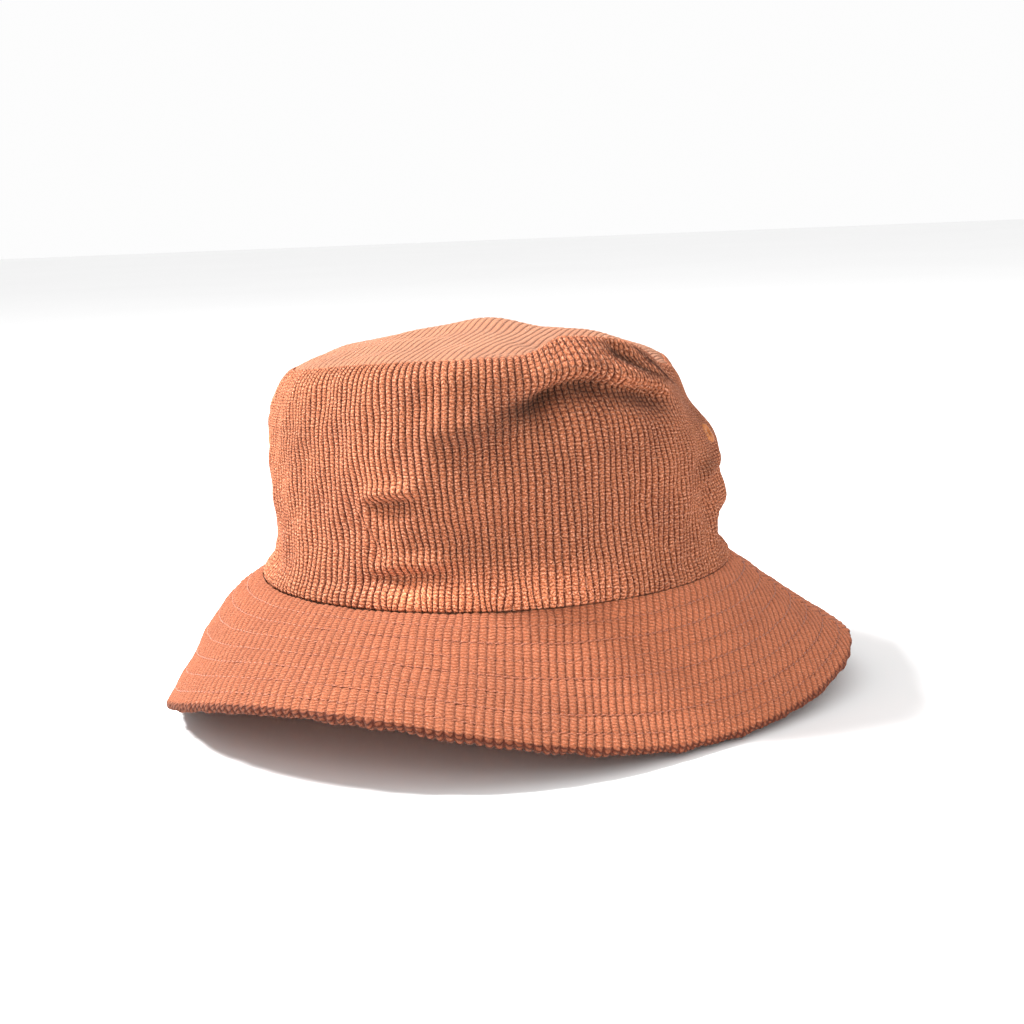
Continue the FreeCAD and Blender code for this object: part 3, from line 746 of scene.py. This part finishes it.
def liningTip():
    inset = tip["edgeInset"] + inside["tipGap"]
    # a square grid pressed out to the oval
    across, along = np.meshgrid(np.linspace(-1, 1, 90), np.linspace(-1, 1, 98))
    x = (halfWidth - inset) * across * np.sqrt(1 - along ** 2 / 2)
    y = (halfLength - inset) * along * np.sqrt(1 - across ** 2 / 2)
    share = ovalReach(x, y, inset)
    z = crown["height"] - inside["tipDown"] + domeHeight(share)
    z = z + inside["tipPucker"] * ripple(x, y, inside["tipSpan"], 61) * (1 - np.clip(share, 0, 1))
    points = crumple(np.stack([x, y, z], axis=-1))
    piece = gridPiece("liningTip", points, clothMarks(x, y, 60))
    halfX, halfY = (halfWidth - inset) * mm, (halfLength - inset) * mm
    area = pi * halfX * halfY
    return finishPiece(piece, "lining", "lining_tip", area)


def bandSection(inset, cloth, foot, head):
    # closed loop across a strip of thick cloth: pairs of height and inset, with soft corners
    heights = np.linspace(foot, head, 14)
    edge = cloth / 2
    outer = [(z, inset) for z in heights[1:-1]]
    inner = [(z, inset + cloth) for z in heights[::-1][1:-1]]
    near, far = inset + 0.1, inset + cloth - 0.1
    top = [(head - 0.1, near), (head, inset + edge), (head - 0.1, far)]
    bottom = [(foot + 0.1, far), (foot, inset + edge), (foot + 0.1, near)]
    return np.array(outer + top + inner + bottom)


def sweatband():
    loop = bandSection(inside["bandInset"], inside["bandCloth"], inside["bandFoot"], inside["bandHead"])
    arcs = np.linspace(0, seamRound, 420, endpoint=False)
    arc, rise = np.meshgrid(arcs, loop[:, 0])
    inset = np.broadcast_to(loop[:, 1:2], arc.shape)
    soft = inside["bandSway"] * ripple(arc, rise, inside["bandSpan"], 71) * ease(rise, 0, 25) - 0.1
    points = crumple(wallPoint(bearingAt(arc), np.clip(rise, 0, None), soft - inset))
    points[..., 2] += np.clip(rise, None, 0)
    marks = clothMarks(arc, rise, 70)
    piece = gridPiece("sweatbandTwill", points, marks, ringColumns=True, ringRows=True)
    return finishPiece(piece, "twill", "sweatband")


def wovenLabel():
    foot, half = inside["badgeFoot"], inside["badgeWidth"] / 2
    across = np.linspace(-half, half, 60)
    up = np.linspace(foot, foot + inside["badgeHeight"], 26)
    arc, rise = np.meshgrid(across, up)
    fromEdge = np.minimum(rise - foot, foot + inside["badgeHeight"] - rise)
    rim = ease(np.minimum(half - np.abs(arc), fromEdge), 0, 1.2)
    faces = []
    for proud in (0.75 + 0.25 * rim, 0.6 + 0 * rim):
        faces.append(crumple(wallPoint(pi + bearingAt(arc), rise, -inside["liningInset"] - proud)))
    points, cloth = sandwich(*faces, clothMarks(arc, rise - foot, 80))
    piece = meshPiece("wovenLabel", points[0], points[1], cloth)
    return finishPiece(piece, "wovenLabel", "woven_label")


def sandwich(front, back, cloth):
    # two grids of the same size joined round their edge into one closed skin
    rows, columns = front.shape[:2]
    count = rows * columns
    index = np.arange(count).reshape(rows, columns)
    border = np.concatenate([index[0], index[1:, -1], index[-1, -2::-1], index[-2:0:-1, 0]])
    after = np.roll(border, -1)
    skin = gridFaces(rows, columns)
    edge = np.stack([border, border + count, after + count, after], axis=1)
    faces = np.concatenate([skin, skin[:, ::-1] + count, edge])
    points = np.concatenate([front.reshape(-1, 3), back.reshape(-1, 3)])
    return (points, faces), np.concatenate([cloth.reshape(-1, 3)] * 2)


def careLabel():
    # a flat tape that hangs from its upper edge, with a slight curl at its foot
    low, high = (np.array(corner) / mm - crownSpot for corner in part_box("care_label"))
    x, z = np.meshgrid(np.linspace(low[0] + 0.1, high[0] - 0.1, 40),
                       np.linspace(low[2] + 0.1, high[2] - 0.05, 44))
    drop = (high[2] - z) / (high[2] - low[2])
    bow = inside["labelBow"] * np.sin((x - low[0]) / (high[0] - low[0]) * pi)
    curl = inside["labelCurl"] * drop ** 2.2 + bow * drop
    faces = [np.stack([x, high[1] - thick - curl, z], axis=-1) for thick in (0.42, 0.08)]
    points, marks = sandwich(*faces, clothMarks(x, z - low[2], 90))
    piece = meshPiece("careLabel", points[0], points[1], marks)
    return finishPiece(piece, "satin", "care_label",
                       body="care_label")


# Embroidered eyelets.

def embroideredEyelet(place, bearing):
    spot, axis = eyeletPlace(bearing)
    beside = unit(np.cross((0, 0, 1.0), axis))
    up = np.cross(axis, beside)
    # section of the spool: radius and height, from the hole over the outer ring to the inner one
    hole, outer, proud, grip = (eyelet[k] for k in ("hole", "outer", "proud", "grip"))
    middle = (hole + outer) / 2
    section = np.array([
        (hole, -grip), (hole, -grip / 2), (hole, 0.1), (hole + 0.12, proud * 0.7), (hole + 0.6, proud),
        (middle, proud * 1.05), (outer - 0.7, proud * 0.9), (outer - 0.2, proud * 0.45), (outer, -0.1),
        (outer - 0.3, -0.5), (hole + 0.7, -0.6), (hole + 0.7, -grip + 0.3), (outer - 0.4, -grip + 0.2),
        (outer - 0.1, -grip - 0.1), (outer - 0.6, -grip - 0.45), (hole + 0.5, -grip - 0.5),
    ])
    count = eyelet["stitches"]
    cuts = count * 4
    turn = np.arange(cuts) / cuts * 2 * pi
    draw = np.random.default_rng(int(bearing) + 200)
    spread = np.repeat(draw.uniform(0.85, 1.15, count), 4)
    ridge = np.tile([0.0, 0.7, 1.0, 0.7], count) * spread
    onFace = ease(section[:, 1], -0.3, 0.3) + ease(-section[:, 1], grip, grip + 0.3)
    radius = section[:, 0:1] + 0.16 * (ridge - 0.6) * onFace[:, None] * (section[:, 0:1] > middle)
    height = section[:, 1:2] + 0.2 * (ridge - 0.5) * ease(section[:, 1:2], -0.2, 0.4)
    twist = turn + 0.05 * (section[:, 0:1] - hole)
    points = (spot + axis * height[..., None] + beside * (radius * np.cos(twist))[..., None]
              + up * (radius * np.sin(twist))[..., None])
    marks = clothMarks(turn / (2 * pi) * count, section[:, 0:1], 100)
    name = "eyelet" + "".join(word.capitalize() for word in place.split("_"))
    piece = gridPiece(name, points, marks, ringColumns=True, ringRows=True)
    return finishPiece(piece, "eyeletThread", f"eyelet_{place}")


# Finishes.

class Wire:
    # one value, colour or vector on its way through a material
    def __init__(self, finish, socket):
        self.finish = finish
        self.socket = socket

    def maths(self, operation, *values):
        return self.finish.add("ShaderNodeMath", {"operation": operation}, list(values))

    def __add__(self, other):
        return self.maths("ADD", self, other)

    def __sub__(self, other):
        return self.maths("SUBTRACT", self, other)

    def __rsub__(self, other):
        return self.maths("SUBTRACT", other, self)

    def __mul__(self, other):
        return self.maths("MULTIPLY", self, other)

    def __pow__(self, other):
        return self.maths("POWER", self, other)

    __radd__ = __add__
    __rmul__ = __mul__

    def fraction(self):
        return self.maths("FRACT", self)

    def wave(self):
        return self.maths("SINE", self)

    def size(self):
        return self.maths("ABSOLUTE", self)

    def held(self):
        return self.finish.add("ShaderNodeClamp", {}, [self])


class Finish:
    def __init__(self, name, **constants):
        self.material = bpy.data.materials.new(name)
        self.material.use_nodes = True
        self.tree = self.material.node_tree
        self.shader = self.tree.nodes["Principled BSDF"]
        for socket, value in constants.items():
            self.shader.inputs[socket.replace("_", " ")].default_value = value

    def add(self, kind, settings, values, output=0):
        node = self.tree.nodes.new(kind)
        for key, value in settings.items():
            setattr(node, key, value)
        pairs = values.items() if isinstance(values, dict) else enumerate(values)
        for key, value in pairs:
            self.join(value, node.inputs[key])
        return Wire(self, node.outputs[output])

    def join(self, value, socket):
        if isinstance(value, Wire):
            self.tree.links.new(value.socket, socket)
        else:
            socket.default_value = value

    def cloth(self):
        # the piece's own flat coordinates: rib number or mm across, mm along, and a seed
        marks = self.add("ShaderNodeAttribute", {"attribute_name": "cloth"}, {}, "Vector")
        return [self.add("ShaderNodeSeparateXYZ", {}, [marks], k) for k in range(3)]

    def vector(self, x, y, z=0.0):
        return self.add("ShaderNodeCombineXYZ", {}, [x, y, z])

    def noise(self, vector, scale, detail=2.0, roughness=0.5):
        return self.add("ShaderNodeTexNoise", {}, {"Vector": vector, "Scale": scale, "Detail": detail,
                                                   "Roughness": roughness})

    def mix(self, share, first, second):
        return self.add("ShaderNodeMix", {"data_type": "RGBA"}, {0: share, 6: first, 7: second}, 2)

    def done(self, colour, roughness, height, bumpDistance, bumpStrength=1.0):
        bump = self.add("ShaderNodeBump", {}, {"Strength": bumpStrength, "Distance": bumpDistance * mm,
                                               "Height": height})
        for socket, value in (("Base Color", colour), ("Roughness", roughness), ("Normal", bump)):
            self.join(value, self.shader.inputs[socket])
        return self.material


def rgb(red, green, blue):
    return (red, green, blue, 1.0)


def corduroyFinish(name, look):
    f = Finish(name, Sheen_Weight=look["sheen"], Sheen_Roughness=0.5, Specular_IOR_Level=0.15,
               Sheen_Tint=rgb(1.0, 0.68, 0.5))
    number, along, path = f.cloth()
    inRib = number.fraction()
    phase = (inRib * 2 - 1).size()
    stray = f.noise(f.vector(number * 0.9, along * 0.16), 1.0, 2.0)
    bow = phase * phase * 0.9  # each tuft droops at the sides of its rib
    tuft = ((along * (pi / look["tuft"]) + stray * 6 + bow).wave()).size()
    fibre = f.noise(f.vector(number * 8.0, along * 3.6), 1.0, 3.0, 0.75)
    speck = f.noise(f.vector(number * 3.6 + 40.0, along * 1.4), 1.0, 3.0, 0.8)
    # painted light and shade stored on the points by the crown and the brim
    paintedShadingAttribute = f.add("ShaderNodeAttribute", {"attribute_name": "tone"}, {}, "Fac")
    patch = f.noise(f.vector(number * 0.12, along * 0.045), 1.0, 3.0)
    # painted shade in the grooves between the ribs, over the darker bare ground
    groove = ((phase - (speck - 0.5) * 1.1) ** look["grooveSharp"]).held()
    bead = (tuft ** 0.6) * (1 - phase ** 5.0)
    pile = f.mix((fibre * 3.0 - 1.15).held(), look["pile"], look["pilePale"])
    # painted shade between the tufts of pile, mixed with random paler and darker patches of pile
    tuftShadeAndWear = bead * look["beadShade"] + (1 - look["beadShade"]) + (patch - 0.5) * 1.2
    shade = f.mix(tuftShadeAndWear.held(), look["shaded"], pile)
    shade = f.mix(((speck - 0.53) * 9).held() * look["grit"], shade, look["fleck"])
    shade = f.mix(((0.47 - speck) * 9).held() * look["grit"], shade, look["shaded"])
    # the rows of stitching step across each rib and darken it along the row; painted shade, over the darker
    # bare ground, in the grooves between the ribs, and on the turned rim, which faces down away from the
    # light
    stepped = path + inRib * 1.1 - 0.55
    gap = stepped * (1 / brim["rowPitch"]) + (0.5 - brim["rowFirst"] / brim["rowPitch"])
    gap = (gap.fraction() - 0.5).size() * brim["rowPitch"]
    row = (1.3 - gap * 3.6).held() * (path - 5).held() * (53 - path).held() * (patch * 2.6 - 0.75).held()
    rimPaintedShade = ((path - (rimPath + 0.1)) * 0.8).held()
    dark = (groove * look["grooveShade"] + row * 0.3 + rimPaintedShade * (1.7 - bead) * 0.85).held()
    height = bead * 0.8 + fibre * 0.3 + speck * 0.9 - row * 0.8
    # the painted light and shade scales the colour
    colour = f.add("ShaderNodeVectorMath", {"operation": "SCALE"},
                   {0: f.mix(dark, shade, look["groove"]), "Scale": paintedShadingAttribute + 1})
    return f.done(colour, 0.8 + patch * 0.15, height, look["bump"])


def weaveFinish(name, warp, weft, scale, rough, bump, diagonal=0.0, **constants):
    # plain or twill weave: warp and weft threads crossing, `scale` to a millimetre
    f = Finish(name, **constants)
    across, along, seed = f.cloth()
    over = (across * (scale * pi)).wave()
    under = ((along + across * diagonal) * (scale * pi)).wave()
    cross = over * under
    slub = f.noise(f.vector(across * 0.6, along * 3.0, seed), 1.0, 3.0)
    share = (cross * 0.5 + slub * 0.5 + 0.25).held()
    return f.done(f.mix(share, warp, weft), rough, cross * 0.5 + slub * 0.5, bump)


def threadFinish(name, dark, pale, turns):
    # plied thread: a twist that runs round each stitch
    f = Finish(name, Sheen_Weight=0.2, Specular_IOR_Level=0.4)
    distance, turn, seed = f.cloth()
    twist = (distance * turns + turn).wave()
    fluff = f.noise(f.vector(distance * 3.0, turn, seed), 2.0)
    share = (twist * 0.35 + fluff * 0.6 + 0.15).held()
    return f.done(f.mix(share, dark, pale), 0.6, twist * 0.5 + fluff * 0.3, 0.08)


def floorFinish():
    f = Finish("paleFloor", Specular_IOR_Level=0.2)
    place = f.add("ShaderNodeTexCoord", {}, {}, "Object")
    cloudy = f.noise(place, 2.0, 2.0)
    return f.done(f.mix(cloudy, rgb(0.90, 0.90, 0.90), rgb(0.93, 0.93, 0.93)), 0.9, cloudy, 0.05)


# the crown, brim and tip are one corduroy; their copies differ in pile colour and in how dark the painted
# groove shade is, set for how the light falls on the wall, the brim and the tip
finishes = {
    "corduroy": corduroyFinish("corduroy", {
        "tuft": 1.25,  # mm of rib to each tuft of pile
        "pile": rgb(0.47, 0.128, 0.050), "pilePale": rgb(0.76, 0.28, 0.135),
        "shaded": rgb(0.17, 0.036, 0.016), "groove": rgb(0.06, 0.010, 0.006),
        "grooveSharp": 3.4, "grooveShade": 1.0, "beadShade": 0.8, "bump": 0.9, "sheen": 0.06, "grit": 1.0,
        "fleck": rgb(0.95, 0.46, 0.29),
    }),
    "brimCorduroy": corduroyFinish("brimCorduroy", {
        "tuft": 1.4,
        "pile": rgb(0.41, 0.102, 0.041), "pilePale": rgb(0.60, 0.205, 0.098),
        "shaded": rgb(0.27, 0.07, 0.03), "groove": rgb(0.10, 0.022, 0.012),
        "grooveSharp": 3.4, "grooveShade": 0.68, "beadShade": 0.55, "bump": 0.7, "sheen": 0.12, "grit": 0.65,
        "fleck": rgb(0.74, 0.32, 0.19),
    }),
    "tipCorduroy": corduroyFinish("tipCorduroy", {
        "tuft": 1.3,
        "pile": rgb(0.37, 0.122, 0.055), "pilePale": rgb(0.56, 0.245, 0.13),
        "shaded": rgb(0.25, 0.068, 0.031), "groove": rgb(0.12, 0.03, 0.016),
        "grooveSharp": 4.5, "grooveShade": 0.7, "beadShade": 0.6, "bump": 0.5, "sheen": 0.38, "grit": 0.3,
        "fleck": rgb(0.70, 0.32, 0.19),
    }),
    "lining": weaveFinish("lining", rgb(0.50, 0.25, 0.15), rgb(0.62, 0.34, 0.21), 2.2, 0.8, 0.12,
                          Sheen_Weight=0.1),
    "twill": weaveFinish("twill", rgb(0.40, 0.17, 0.095), rgb(0.52, 0.25, 0.15), 1.3, 0.75, 0.2, 1.0,
                         Sheen_Weight=0.15),
    "wovenLabel": weaveFinish("wovenLabel", rgb(0.70, 0.58, 0.42), rgb(0.82, 0.73, 0.58), 2.6, 0.6, 0.1),
    "satin": weaveFinish("satin", rgb(0.82, 0.80, 0.75), rgb(0.92, 0.90, 0.86), 3.2, 0.4, 0.06, 0.4),
    "canvas": weaveFinish("canvas", rgb(0.72, 0.69, 0.62), rgb(0.84, 0.81, 0.74), 1.6, 0.85, 0.2),
    "thread": threadFinish("thread", rgb(0.30, 0.08, 0.038), rgb(0.52, 0.175, 0.085), 5.0),
    "eyeletThread": threadFinish("eyeletThread", rgb(0.34, 0.09, 0.02), rgb(0.62, 0.22, 0.05), 3.0),
}


def finishPiece(piece, finish, node, area=None, body="hat"):
    piece.data.materials.append(finishes[finish])
    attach(piece, body)
    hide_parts(node)
    return piece


# The hat, piece by piece.

def bothHalves(make, name, node, seeds):
    for side, middle, seed in zip(("Front", "Back"), (0.0, pi), seeds):
        make(name + side, f"{node}_{side.lower()}", middle, seed)


bothHalves(crownPanel, "crown", "crown_panel", (1, 2))
tipPanel()
print("crown done")

bothHalves(brimUpper, "brim", "brim_upper", (30, 40))
bothHalves(brimUnder, "brimUnder", "brim_under", (30, 40))
bothHalves(brimStiffening, "stiffening", "brim_interlining", (36, 46))
print("brim done")

for number in range(1, brim["rowCount"] + 1):
    brimRow(number)
footRing = wallRing(thread["footUp"], thread["footSink"])
stitchPiece("crownSeamStitches", "crown_seam_thread", footRing, seamRound)
headRing = wallRing(wallRise - thread["headDown"], thread["headSink"])
stitchPiece("tipSeamStitches", "tip_seam_thread", headRing, seamRound)
bandRing = wallRing(inside["bandHead"] - inside["bandStitchDown"],
                    inside["bandInset"] + inside["bandCloth"] + thread["bandSink"])
stitchPiece("sweatbandStitches", "sweatband_thread", bandRing, seamRound)
for side, theta in (("Left", -pi / 2), ("Right", pi / 2)):
    stitchPiece(f"sideSeam{side}", f"side_seam_thread_{side.lower()}", sideRow(theta),
                crownCloth["sideRowLength"])
print("stitching done")

for place, bearing in eyelet["bearings"].items():
    embroideredEyelet(place, bearing)
bothHalves(liningSide, "lining", "lining_side", (50, 55))
liningTip()
sweatband()
wovenLabel()
careLabel()
print("inside done")


# Floor, light and camera.

studio = {
    "floor": 16.0, "world": 0.98,
    "key": 66, "keySize": 0.32, "keyFrom": (-1.0, 0.0, 1.3),
    "fill": 6, "fillSize": 1.0, "fillFrom": (0.2, -1.5, 0.6),
}


def areaLight(name, power, size, spot, target):
    light = bpy.data.lights.new(name, "AREA")
    light.energy = power
    light.size = size
    lamp = bpy.data.objects.new(name, light)
    lamp.location = spot
    lamp.rotation_euler = (Vector(spot) - target).to_track_quat("Z", "Y").to_euler()
    scene.collection.objects.link(lamp)


half = studio["floor"] / 2
floorMesh = bpy.data.meshes.new("floor")
floorCorners = [(-half, -half, 0), (half, -half, 0), (half, half, 0), (-half, half, 0)]
floorMesh.from_pydata(floorCorners, [], [(0, 1, 2, 3)])
floorMesh.materials.append(floorFinish())
floor = bpy.data.objects.new("floor", floorMesh)
scene.collection.objects.link(floor)

world = bpy.data.worlds.new("softbox")
world.use_nodes = True
world.node_tree.nodes["Background"].inputs["Color"].default_value = (1, 1, 1, 1)
world.node_tree.nodes["Background"].inputs["Strength"].default_value = studio["world"]
scene.world = world
middle = Vector((0, 0, crownSpot[2] * mm))
for name in ("key", "fill"):
    areaLight(name, studio[name], studio[name + "Size"], studio[name + "From"], middle)
scene.view_settings.view_transform = "Standard"

view = {
    "distance": 750, "around": 3.68, "above": 8.03, "roll": -2.33,  # mm and degrees
    "aim": 34.0,  # mm over the brim seam
    "focal": 68.27, "shiftX": 0.0188, "shiftY": -0.0391,
}
sideways, above, roll = (radians(view[k]) for k in ("around", "above", "roll"))
back = Vector((sin(sideways) * cos(above), -cos(sideways) * cos(above), sin(above)))
right = (-back).cross(Vector((0, 0, 1))).normalized()
up = right.cross(-back)
rightRolled = right * cos(roll) + up * sin(roll)
upRolled = -right * sin(roll) + up * cos(roll)
cameraData = bpy.data.cameras.new("camera")
cameraData.lens = view["focal"]
cameraData.sensor_width = 36
cameraData.shift_x = view["shiftX"]
cameraData.shift_y = view["shiftY"]
camera = bpy.data.objects.new("camera", cameraData)
target = Vector(crownSpot * mm) + Vector((0, 0, view["aim"] * mm))
turned = Matrix((rightRolled, upRolled, back)).transposed().to_4x4()
camera.matrix_world = Matrix.Translation(target + back * view["distance"] * mm) @ turned
scene.collection.objects.link(camera)
scene.camera = camera
print("studio done")
